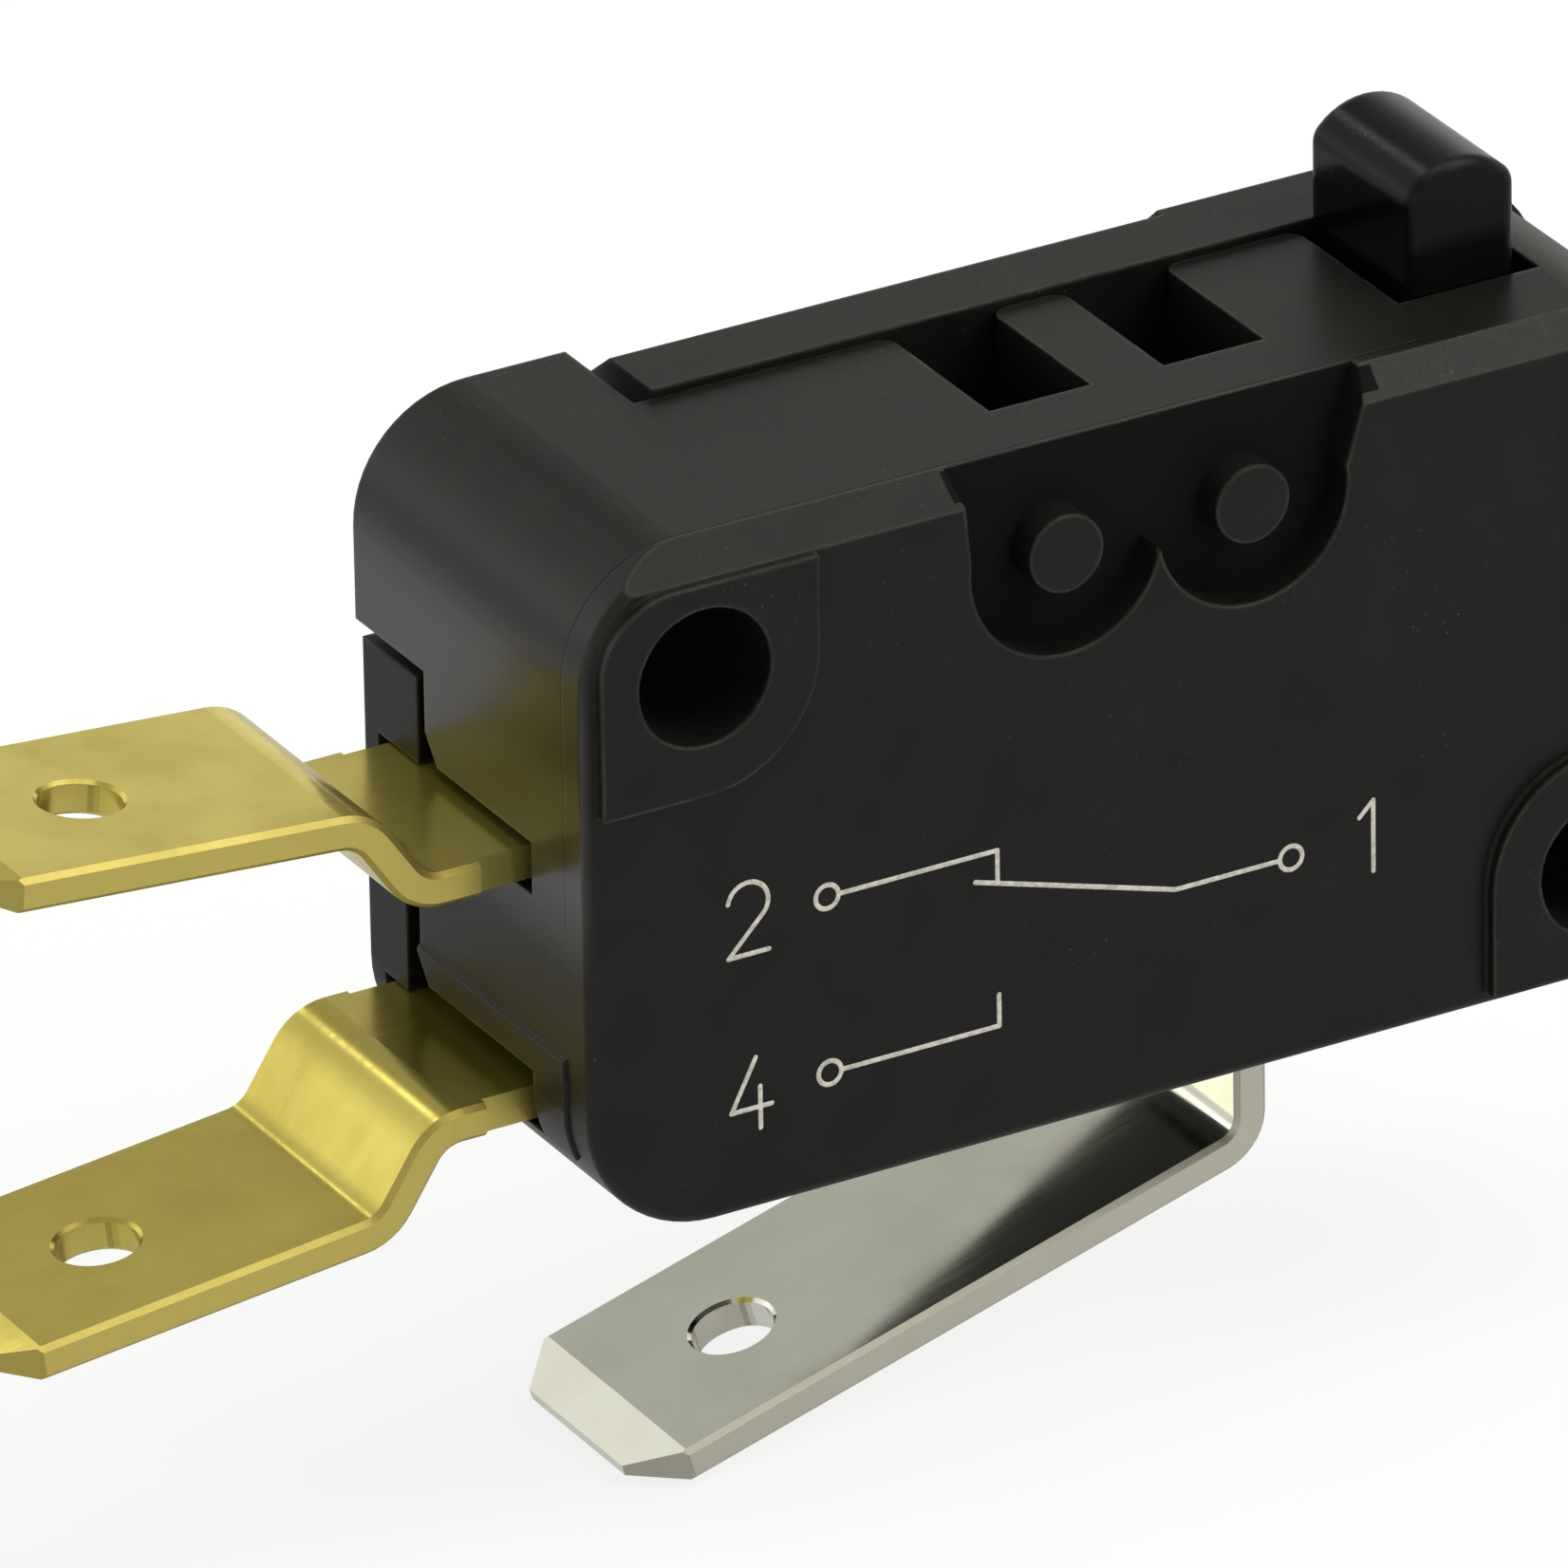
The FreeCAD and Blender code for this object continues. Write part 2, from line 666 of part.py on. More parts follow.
def moving_contact():
    """Two-faced contact riveted through the blade."""
    upper = rivet(contact_x, arm_z + arm_thickness / 2, moving_head, True, arm_thickness / 2)
    lower = rivet(contact_x, arm_z - arm_thickness / 2, moving_head, False, arm_thickness / 2)
    return upper.fuse(lower).removeSplitter()


def contact_arm():
    """Forked blade whose two legs rock in a groove of the common terminal."""
    y0 = tab_centre_y - arm_width / 2
    y1 = tab_centre_y + arm_width / 2
    half = arm_thickness / 2
    blade = column([
        (arm_left_x, y0, 0.8), (com_left_x, y0, 0), (com_left_x, y1, 0), (arm_left_x, y1, 0.8),
    ], arm_z - half, arm_z + half)
    ends = rod(com_left_x, arm_z, half, y0, y1)
    slot = column([
        (arm_slot_left_x, tab_centre_y - arm_slot_width / 2, 0.5),
        (com_left_x + 1, tab_centre_y - arm_slot_width / 2, 0),
        (com_left_x + 1, tab_centre_y + arm_slot_width / 2, 0),
        (arm_slot_left_x, tab_centre_y + arm_slot_width / 2, 0.5),
    ], arm_z - 1, arm_z + 1)
    eye_x = arm_slot_left_x - eye_inset
    eye = Part.makeCylinder(hook_hole_r, 2, vector(eye_x, arm_z - 1, tab_centre_y))
    hole = Part.makeCylinder(contact_shank_r + shank_gap, 2, vector(contact_x, arm_z - 1, tab_centre_y))
    return blade.fuse(ends).cut([slot, eye, hole])


def link(start, start_r, end, end_r, y0, y1):
    """Tapered arm between two round ends, tangent to both."""
    run = end - start
    length = run.Length
    heading = math.atan2(run.z, run.x)
    lean = math.acos((start_r - end_r) / length)
    points = []
    for centre, radius, angle in ((start, start_r, heading + lean), (end, end_r, heading + lean),
                                  (end, end_r, heading - lean), (start, start_r, heading - lean)):
        points.append((centre.x + radius * math.cos(angle), centre.z + radius * math.sin(angle), 0))
    web = plate(points, y0, y1)
    ends = [rod(start.x, start.z, start_r, y0, y1), rod(end.x, end.z, end_r, y0, y1)]
    return web.fuse(ends)


def actuating_lever():
    """Bell-crank lever: trunnions in both mouldings, hook for the spring, pad under the plunger."""
    y0 = tab_centre_y - lever_width / 2
    y1 = tab_centre_y + lever_width / 2
    tilt = math.radians(pad_tilt)
    along = vector(math.cos(tilt), math.sin(tilt))
    square = vector(-math.sin(tilt), math.cos(tilt))
    pivot = vector(lever_x, lever_z)
    foot = vector(plunger_x, foot_z)
    surface = (foot - pivot).dot(square) - foot_r - pad_gap
    under_foot = (foot - pivot).dot(along)
    pad_left = pivot + square * (surface - lever_pad_r) + along * (under_foot - pad_run)
    pad_right = pivot + square * (surface - lever_pad_r) + along * (under_foot + pad_overrun)
    hook = vector(hook_x, hook_z)
    lever = link(pivot, lever_hub_r, hook, hook_boss_r, y0, y1)
    lever = lever.fuse([
        link(hook, hook_boss_r, pad_left, lever_pad_r, y0, y1),
        link(pad_left, lever_pad_r, pad_right, lever_pad_r, y0, y1),
        rod(lever_x, lever_z, lever_trunnion_r, inner_front_y - trunnion_depth,
            inner_rear_y - trunnion_gap),
    ])
    throat = block(hook_x - hook_boss_r * 3, hook_x + hook_hole_r, tab_centre_y - spring_mean_r,
                   tab_centre_y + spring_mean_r, hook_z - hook_boss_r * 1.5, hook_z + hook_boss_r * 1.5)
    return lever.cut(throat).removeSplitter()


def snap_spring():
    """Tension coil spring between the eye of the blade and the throat of the lever."""
    half = spring_wire / 2
    eye = vector(arm_slot_left_x - eye_inset, arm_z + arm_thickness / 2 + made_gap + half, tab_centre_y)
    end = vector(hook_x - made_gap, hook_z, tab_centre_y)
    length = eye.distanceToPoint(end)
    coil_length = length - 2 * spring_hook_run
    helix = Part.makeHelix(coil_length / spring_turns, coil_length, spring_mean_r)
    ring = Part.makePolygon([FreeCAD.Vector(spring_mean_r + x, 0, z) for x, z in (
        (-half, -half), (half, -half), (half, half), (-half, half), (-half, -half))])
    coil = Part.Wire(helix.Edges).makePipeShell([ring], True, True)
    hooks = []
    for z0, z1, side in ((-spring_hook_run, half, -1), (coil_length - half, coil_length + spring_hook_run, 1)):
        hooks.append(block(-half, half, -half, half, z0, z1))
        root_z = half if side < 0 else coil_length - half
        hooks.append(block(-half, spring_mean_r + half, -half, half, min(root_z, root_z + side * spring_wire),
                           max(root_z, root_z + side * spring_wire)))
    spring = coil.fuse(hooks)
    axis = (end - eye).normalize()
    spring.Placement = FreeCAD.Placement(eye + axis * spring_hook_run,
                                         FreeCAD.Rotation(FreeCAD.Vector(0, 0, 1), axis))
    drop = block(eye.x - half, eye.x + half, tab_centre_y - half, tab_centre_y + half,
                 arm_z - arm_thickness / 2 - spring_hook_drop, eye.z + half)
    return spring.fuse(drop).removeSplitter()


pieces = {
    "housing_base": housing_base,
    "rear_cover": rear_cover,
    "plunger": plunger,
    "nc_terminal": nc_terminal,
    "no_terminal": no_terminal,
    "com_terminal": com_terminal,
    "nc_contact": nc_contact,
    "no_contact": no_contact,
    "moving_contact": moving_contact,
    "contact_arm": contact_arm,
    "actuating_lever": actuating_lever,
    "snap_spring": snap_spring,
}

os.makedirs("parts", exist_ok=True)
for name, make in pieces.items():
    shape = make()
    shape.exportStep("parts/" + name + ".step")
    box = shape.BoundBox
    print(name, len(shape.Solids), "solids", round(shape.Volume, 3), "mm3", shape.isValid(),
          [round(v, 2) for v in (box.XMin, box.XMax, box.YMin, box.YMax, box.ZMin, box.ZMax)])
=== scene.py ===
import math

import bpy
import numpy as np
from mathutils import Matrix, Vector


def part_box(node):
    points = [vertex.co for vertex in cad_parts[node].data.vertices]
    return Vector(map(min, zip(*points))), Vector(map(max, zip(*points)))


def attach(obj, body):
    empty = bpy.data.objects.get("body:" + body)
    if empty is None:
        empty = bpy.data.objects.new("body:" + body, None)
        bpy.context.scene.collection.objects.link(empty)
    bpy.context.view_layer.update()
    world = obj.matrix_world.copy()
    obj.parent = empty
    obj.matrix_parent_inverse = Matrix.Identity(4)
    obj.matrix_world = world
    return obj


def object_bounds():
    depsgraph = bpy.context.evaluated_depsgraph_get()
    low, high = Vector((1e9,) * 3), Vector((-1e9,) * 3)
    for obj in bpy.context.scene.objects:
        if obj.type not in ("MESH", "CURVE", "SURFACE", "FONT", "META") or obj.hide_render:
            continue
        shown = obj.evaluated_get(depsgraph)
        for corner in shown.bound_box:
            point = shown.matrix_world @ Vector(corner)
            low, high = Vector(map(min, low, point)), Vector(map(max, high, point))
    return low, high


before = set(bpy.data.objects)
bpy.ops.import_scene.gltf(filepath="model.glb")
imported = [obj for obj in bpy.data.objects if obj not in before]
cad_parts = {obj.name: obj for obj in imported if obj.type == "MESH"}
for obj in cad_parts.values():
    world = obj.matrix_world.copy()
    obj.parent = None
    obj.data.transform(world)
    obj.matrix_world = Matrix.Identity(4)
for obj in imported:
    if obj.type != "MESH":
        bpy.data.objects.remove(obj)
cad_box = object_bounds()


# The viewpoint. A long lens looks down on the front face and the terminal end of the switch,
# from 29 degrees round towards the terminals and 27 degrees above.
image_px = 1652
focal_px = 24073.0
centre_px = (822.5, 818.2)
sensor_mm = 36.0
eye_mm = (-209.537, -381.684, 213.128)
look_right = (0.868099, -0.496144, -0.015637)
look_down = (-0.234106, -0.381428, -0.894263)
look_ahead = (0.437719, 0.779970, -0.447268)

camera_data = bpy.data.cameras.new("camera")
camera_data.sensor_width = sensor_mm
camera_data.lens = focal_px / image_px * sensor_mm
camera_data.shift_x = (image_px / 2 - centre_px[0]) / image_px
camera_data.shift_y = (centre_px[1] - image_px / 2) / image_px
camera_data.clip_start = 0.05
camera_data.clip_end = 5.0
camera = bpy.data.objects.new("camera", camera_data)
placement = np.eye(4)
placement[:3, :3] = np.array([look_right, [-v for v in look_down], [-v for v in look_ahead]]).T
placement[:3, 3] = np.array(eye_mm) / 1000
camera.matrix_world = Matrix(placement.tolist())
bpy.context.scene.collection.objects.link(camera)
bpy.context.scene.camera = camera
bpy.context.scene.view_settings.view_transform = "Standard"


# The studio. A white sweep lies under the switch and white walls stand round it, falling off
# to grey above. A wide soft light hangs overhead, one stands at the front right and one
# behind the terminals, beside a small lamp that draws a line along their bends.
def feed(tree, socket, value):
    """Links an output to a socket, or sets the socket where value is a number or a colour."""
    if isinstance(value, bpy.types.NodeSocket):
        tree.links.new(value, socket)
    else:
        socket.default_value = value


def add(tree, kind, inputs=(), **settings):
    """New shader node with its settings, and its inputs given as pairs of name and value."""
    node = tree.nodes.new("ShaderNode" + kind)
    for name, value in settings.items():
        setattr(node, name, value)
    for name, value in inputs:
        feed(tree, node.inputs[name], value)
    return node


def calc(tree, operation, first, second=0.0):
    """Output of a Math node on two values."""
    return add(tree, "Math", [(0, first), (1, second)], operation=operation).outputs[0]


def remap(tree, value, low, high, to_low=0.0, to_high=1.0):
    """Output that goes from to_low to to_high as value goes from low to high."""
    return add(tree, "MapRange", [("Value", value), ("From Min", low), ("From Max", high),
                                  ("To Min", to_low), ("To Max", to_high)]).outputs["Result"]


def blend_values(tree, share, first, second):
    """Output that goes from first to second as share goes from 0 to 1."""
    return remap(tree, share, 0.0, 1.0, first, second)


def mix_colours(tree, share, first, second):
    """Colour that goes from first to second as share goes from 0 to 1."""
    return add(tree, "Mix", [(0, share), (6, first), (7, second)], data_type="RGBA").outputs[2]


lamp_tint = (1.0, 0.985, 0.94)
middle = Vector([(low + high) / 2 for low, high in zip(*cad_box)])


def soft_light(name, position, side, watts):
    """Square area light at position, turned to face the middle of the switch."""
    data = bpy.data.lights.new(name, "AREA")
    data.shape = "SQUARE"
    data.size = side
    data.energy = watts
    data.color = lamp_tint
    light = bpy.data.objects.new(name, data)
    light.location = position
    light.rotation_euler = (middle - Vector(position)).to_track_quat("-Z", "Y").to_euler()
    bpy.context.scene.collection.objects.link(light)


soft_light("overhead", (0.03, -0.02, 0.55), side=0.42, watts=1.4)
soft_light("front_right", (0.26, -0.27, 0.37), side=0.3, watts=1.25)
soft_light("behind_terminals", (-0.21, 0.39, 0.21), side=0.38, watts=0.17)
soft_light("bend_highlight", (-0.031, 0.39, 0.3055), side=0.05, watts=0.024)

wall_level = 1.0
ceiling_level = 0.42
ambient_level = 0.5
wall_top = 0.25
ceiling_start = 0.56
pure_white = (1.0, 1.0, 1.0, 1.0)
world = bpy.data.worlds.new("studio")
world.use_nodes = True
bpy.context.scene.world = world
studio = world.node_tree
direction = add(studio, "SeparateXYZ", [("Vector", add(studio, "TexCoord").outputs["Generated"])])
wall_fade = remap(studio, direction.outputs["Z"], wall_top, ceiling_start, wall_level, ceiling_level)
rays = add(studio, "LightPath").outputs
mirrored = calc(studio, "MAXIMUM", rays["Is Glossy Ray"], rays["Is Transmission Ray"])
room_level = blend_values(studio, mirrored, ambient_level, wall_fade)
shown_level = blend_values(studio, rays["Is Camera Ray"], room_level, 1.0)
shown_tint = mix_colours(studio, rays["Is Camera Ray"], (*lamp_tint, 1.0), pure_white)
feed(studio, studio.nodes["Background"].inputs["Color"], shown_tint)
feed(studio, studio.nodes["Background"].inputs["Strength"], shown_level)


def new_material(name):
    """Node material with only its Principled shader and output; returns it with its parts."""
    material = bpy.data.materials.new(name)
    material.use_nodes = True
    tree = material.node_tree
    return material, tree, tree.nodes["Principled BSDF"]


floor_gap = 0.0002
floor_z = cad_box[0][2] - floor_gap
floor_reach = 1.5
floor_glow = 0.8
mirrored_glow = 0.6
paper_white = (0.93, 0.93, 0.93, 1.0)
fibre_scale = 900.0
fibre_levels = (0.3, 0.7)
paper_roughness = (0.82, 0.95)
corners = [(x * floor_reach, y * floor_reach, floor_z) for x, y in ((-1, -1), (1, -1), (1, 1), (-1, 1))]
floor_mesh = bpy.data.meshes.new("floor")
floor_mesh.from_pydata(corners, [], [(0, 1, 2, 3)])
floor = bpy.data.objects.new("floor", floor_mesh)
bpy.context.scene.collection.objects.link(floor)

paper, sheet, paper_shader = new_material("floor_paper")
paper_fibre = add(sheet, "TexNoise", [("Vector", add(sheet, "TexCoord").outputs["Object"]),
                                      ("Scale", fibre_scale), ("Detail", 4.0)])
feed(sheet, paper_shader.inputs["Base Color"], paper_white)
feed(sheet, paper_shader.inputs["Roughness"], remap(sheet, paper_fibre.outputs[0], *fibre_levels,
                                                    *paper_roughness))
rays = add(sheet, "LightPath").outputs
seen = calc(sheet, "MAXIMUM", rays["Is Camera Ray"],
            calc(sheet, "MAXIMUM", rays["Is Glossy Ray"], rays["Is Transmission Ray"]))
glow = add(sheet, "Emission", [
    ("Color", pure_white), ("Strength", blend_values(sheet, rays["Is Camera Ray"], mirrored_glow, 1.0))])
lit = add(sheet, "MixShader", [("Fac", calc(sheet, "MULTIPLY", seen, floor_glow)),
                               (1, paper_shader.outputs["BSDF"]), (2, glow.outputs["Emission"])])
feed(sheet, sheet.nodes["Material Output"].inputs["Surface"], lit.outputs["Shader"])
floor_mesh.materials.append(paper)


# The housing base: one moulding of black glass-filled thermoplastic. Its skin has the fine
# satin grain of the mould, its edges are a little polished and lightened, as wear and painted highlight,
# and a fine seam from the mould's insert runs behind the front bevel and down the terminal end.
def effect(name, inputs, outputs):
    """Empty node group with its named inputs and outputs; returns it with its two end nodes."""
    group = bpy.data.node_groups.new(name, "ShaderNodeTree")
    for in_out, sockets in (("INPUT", inputs), ("OUTPUT", outputs)):
        for label, kind in sockets:
            group.interface.new_socket(label, in_out=in_out, socket_type="NodeSocket" + kind)
    return group, group.nodes.new("NodeGroupInput").outputs, group.nodes.new("NodeGroupOutput").inputs


def place(tree, group, inputs=()):
    """Outputs of a node group placed in a tree with its own values."""
    node = add(tree, "Group", node_tree=group)
    for name, value in inputs:
        feed(tree, node.inputs[name], value)
    return node.outputs


def noise(tree, vector, size, detail=3.0):
    """Output of a noise pattern whose lumps are about size metres across."""
    return add(tree, "TexNoise", [("Vector", vector), ("Scale", 1.0 / size),
                                  ("Detail", detail)]).outputs[0]


def dent(tree, height, depth, normal):
    """Normal tilted by a height pattern, where a height of 1 is depth metres proud."""
    return add(tree, "Bump", [("Height", height), ("Distance", depth), ("Strength", 1.0),
                              ("Normal", normal)]).outputs["Normal"]


def scaled(colour, factor):
    """A colour made lighter or darker by a factor, and opaque."""
    return tuple(c * factor for c in colour[:3]) + (1.0,)


# Softened edges: the normal turns smoothly round an edge of the given radius, and Edge is 1
# where that normal leaves the flat of the face and nothing stands over it, so inside
# corners stay dark.
flat_agreement = 0.995
edge_agreement = 0.9
crease_reach = 0.0003
crease_sky = 0.55
clear_sky = 0.85
soft_edges, given, result = effect("soft_edges", [("Radius", "Float")],
                                   [("Normal", "Vector"), ("Edge", "Float")])
rounded = add(soft_edges, "Bevel", [("Radius", given["Radius"])], samples=2).outputs["Normal"]
face_normal = add(soft_edges, "NewGeometry").outputs["Normal"]
agreement = add(soft_edges, "VectorMath", [(0, rounded), (1, face_normal)], operation="DOT_PRODUCT")
feed(soft_edges, result["Normal"], rounded)
turned_away = remap(soft_edges, agreement.outputs["Value"], flat_agreement, edge_agreement)
open_sky = add(soft_edges, "AmbientOcclusion", [("Distance", crease_reach)], samples=1).outputs["AO"]
uncovered = remap(soft_edges, open_sky, crease_sky, clear_sky)
feed(soft_edges, result["Edge"], calc(soft_edges, "MULTIPLY", turned_away, uncovered))

# Grain: fine lumps of the given frequency and depth on top of a slow waviness, with both put
# out as patterns for colour and roughness.
wave_size = 0.0018
skin_grain, given, result = effect(
    "skin_grain",
    [("Vector", "Vector"), ("Frequency", "Float"), ("Depth", "Float"), ("Wave Depth", "Float"),
     ("Normal", "Vector")],
    [("Normal", "Vector"), ("Lumps", "Float"), ("Waves", "Float")])
lumps = add(skin_grain, "TexNoise", [("Vector", given["Vector"]), ("Scale", given["Frequency"]),
                                     ("Detail", 2.0)]).outputs[0]
waves = noise(skin_grain, given["Vector"], wave_size, 1.0)
wavy = dent(skin_grain, waves, given["Wave Depth"], given["Normal"])
feed(skin_grain, result["Normal"], dent(skin_grain, lumps, given["Depth"], wavy))
feed(skin_grain, result["Lumps"], lumps)
feed(skin_grain, result["Waves"], waves)

# What all the moulded pieces' skins have in common: their waves, edge wear with a painted highlight, and
# dust.
wave_depth = 0.000002
wave_levels = (0.3, 0.7)
wave_lift = 1.35
lump_levels = (0.25, 0.75)
worn_polish = 0.08
smooth_dip = 0.05
rough_rise = 0.07
speck_size = 0.00009
speck_levels = (0.72, 0.80)
film_size = 0.004
film_levels = (0.45, 0.7)
film_share = 0.5
dust_grey = (0.16, 0.155, 0.145, 1.0)
wear_and_highlight_levels = (0.3, 0.6)
least_wear_and_highlight = 0.35


def moulded_plastic(name, colour, wear_and_highlight_colour, roughness, grain_size, grain_depth, specular, edge_radius):
    """Moulded plastic with grained skin, softened edges lightened as wear and painted highlight, and a
    faint film of dust.
    """
    material, tree, shader = new_material(name)
    where = add(tree, "TexCoord").outputs["Object"]
    edges = place(tree, soft_edges, [("Radius", edge_radius)])
    skin = place(tree, skin_grain, [("Vector", where), ("Frequency", 1.0 / grain_size),
                                    ("Depth", grain_depth), ("Wave Depth", wave_depth),
                                    ("Normal", edges["Normal"])])
    speck = remap(tree, noise(tree, where, speck_size, 1.0), *speck_levels)
    film = remap(tree, noise(tree, where, film_size, 2.0), *film_levels, 0.0, film_share)
    dusty = calc(tree, "MULTIPLY", speck, film)
    # Edges are lightened, patchily, as wear and as a painted highlight.
    wear_and_painted_highlight = calc(tree, "MULTIPLY", edges["Edge"], remap(tree, skin["Lumps"], *wear_and_highlight_levels, least_wear_and_highlight, 1.0))
    tone = mix_colours(tree, remap(tree, skin["Waves"], *wave_levels), colour, scaled(colour, wave_lift))
    tone = mix_colours(tree, wear_and_painted_highlight, tone, wear_and_highlight_colour)
    tone = mix_colours(tree, dusty, tone, dust_grey)
    feed(tree, shader.inputs["Base Color"], tone)
    rough = remap(tree, skin["Lumps"], *lump_levels, roughness - smooth_dip, roughness + rough_rise)
    polish = calc(tree, "MULTIPLY", wear_and_painted_highlight, worn_polish)
    feed(tree, shader.inputs["Roughness"], calc(tree, "SUBTRACT", rough, polish))
    feed(tree, shader.inputs["Specular IOR Level"], specular)
    feed(tree, shader.inputs["Normal"], skin["Normal"])
    return material, tree, shader


def give(material, *names):
    """Puts a material in every slot of the named CAD nodes."""
    for name in names:
        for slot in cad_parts[name].material_slots:
            slot.material = material


plastic_black = (0.0068, 0.0066, 0.0056, 1.0)
# The lighter edge colour stands for wear and for a painted highlight.
plastic_wear_and_highlight = (0.085, 0.083, 0.075, 1.0)
housing_black, body, body_shader = moulded_plastic(
    "housing_black", plastic_black, plastic_wear_and_highlight, roughness=0.36, grain_size=0.00007,
    grain_depth=0.0000016, specular=0.165, edge_radius=0.00013)


def overlay(socket_name, effect_of):
    """Puts one more effect between a socket of the housing's shader and what feeds it."""
    socket = body_shader.inputs[socket_name]
    feed(body, socket, effect_of(socket.links[0].from_socket))


pad_step = 0.0003
base_low, base_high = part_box("housing_base")
pad_y = base_low[1]
front_y = pad_y + pad_step
seam_y = -0.00393
seam_half_width = 0.000025
seam_depth = 0.00002
seam_low_z = -0.0058
seam_right_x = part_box("plunger")[0][0]
seam_black = (0.0015, 0.0015, 0.0015, 1.0)
spot = add(body, "SeparateXYZ", [("Vector", add(body, "TexCoord").outputs["Object"])]).outputs
off_seam = calc(body, "ABSOLUTE", calc(body, "SUBTRACT", spot["Y"], seam_y))
seam = remap(body, off_seam, seam_half_width, seam_half_width * 2, 1.0, 0.0)
seam = calc(body, "MULTIPLY", seam, calc(body, "GREATER_THAN", spot["Z"], seam_low_z))
seam = calc(body, "MULTIPLY", seam, calc(body, "LESS_THAN", spot["X"], seam_right_x))
overlay("Base Color", lambda tone: mix_colours(body, seam, tone, seam_black))
overlay("Normal", lambda normal: dent(body, seam, -seam_depth, normal))

# Inside the two mounting holes and round the lever pegs the skin is rougher, and its colour is darkened as
# painted shade, from a little way behind the rim.
hole_inset = 0.0028
hole_x = base_high[0] - hole_inset
hole_z = base_low[2] + hole_inset
hole_r = 0.00162
recess_left = 0.00635
recess_right = 0.01683
recess_low = -0.0022
recess_top = 0.00275
rim_depth = 0.00015
recess_front = front_y + rim_depth
bore_front = pad_y + rim_depth
painted_recess_shade = (0.0022, 0.0016, 0.0010, 1.0)
recess_roughness = 0.85


def within(value, low, high):
    """1 where value lies between low and high, and 0 elsewhere."""
    return calc(body, "MULTIPLY", calc(body, "GREATER_THAN", value, low),
                calc(body, "LESS_THAN", value, high))


def bore(x, z):
    """1 nearer than the hole's radius to the axis at x, z."""
    far_x = calc(body, "POWER", calc(body, "SUBTRACT", spot["X"], x), 2.0)
    far_z = calc(body, "POWER", calc(body, "SUBTRACT", spot["Z"], z), 2.0)
    return calc(body, "LESS_THAN", calc(body, "ADD", far_x, far_z), hole_r * hole_r)


recess = calc(body, "MULTIPLY", within(spot["X"], recess_left, recess_right),
              within(spot["Z"], recess_low, recess_top))
recess = calc(body, "MULTIPLY", recess, calc(body, "GREATER_THAN", spot["Y"], recess_front))
bores = calc(body, "MULTIPLY", calc(body, "MAXIMUM", bore(0.0, 0.0), bore(hole_x, hole_z)),
             calc(body, "GREATER_THAN", spot["Y"], bore_front))
painted_shade_and_dullness = calc(body, "MAXIMUM", recess, bores)
# Painted shade: inside the holes and the peg recess the colour is taken near black.
overlay("Base Color", lambda tone: mix_colours(body, painted_shade_and_dullness, tone, painted_recess_shade))
overlay("Roughness", lambda rough: blend_values(body, painted_shade_and_dullness, rough, recess_roughness))

# The middle of the terminal end was formed by a polished slide, so it is glossier than the
# rest and mirrors the brass. The gloss fades below the upper root and towards the top.
gloss_right_x = -0.0014
gloss_facing = (-0.35, -0.9)
gloss_foot = (-0.0068, -0.0048)
gloss_head = (-0.0008, 0.0012)
foot_share = 0.1
head_share = 0.3
gloss_weight = 0.7
gloss_roughness = 0.22
facing_x = add(body, "SeparateXYZ", [("Vector", add(body, "NewGeometry").outputs["Normal"])]).outputs["X"]
gloss = calc(body, "MULTIPLY", remap(body, facing_x, *gloss_facing),
             calc(body, "LESS_THAN", spot["X"], gloss_right_x))
gloss = calc(body, "MULTIPLY", gloss, remap(body, spot["Z"], *gloss_foot, foot_share, 1.0))
gloss = calc(body, "MULTIPLY", gloss, remap(body, spot["Z"], *gloss_head, 1.0, head_share))
feed(body, body_shader.inputs["Coat Weight"], calc(body, "MULTIPLY", gloss, gloss_weight))
feed(body, body_shader.inputs["Coat Roughness"], gloss_roughness)
give(housing_black, "housing_base")


# The rear cover: a second moulding of the same plastic, which closes the back of the base.
# It comes from another mould, so its grain is a shade coarser and duller. Its edges are lightened like the
# base's, as wear and painted highlight.
cover_black = moulded_plastic(
    "cover_black", plastic_black, plastic_wear_and_highlight, roughness=0.38, grain_size=0.00009,
    grain_depth=0.0000018, specular=0.165, edge_radius=0.00013)[0]
give(cover_black, "rear_cover")


# The marks on the front face: the number of each terminal and the sign of a change-over
# switch, in thin pale strokes printed on the plastic.
stroke_half_width = 0.000058
stroke_height = 0.000012
across_count = 12
cap_count = 5
arc_count = 25


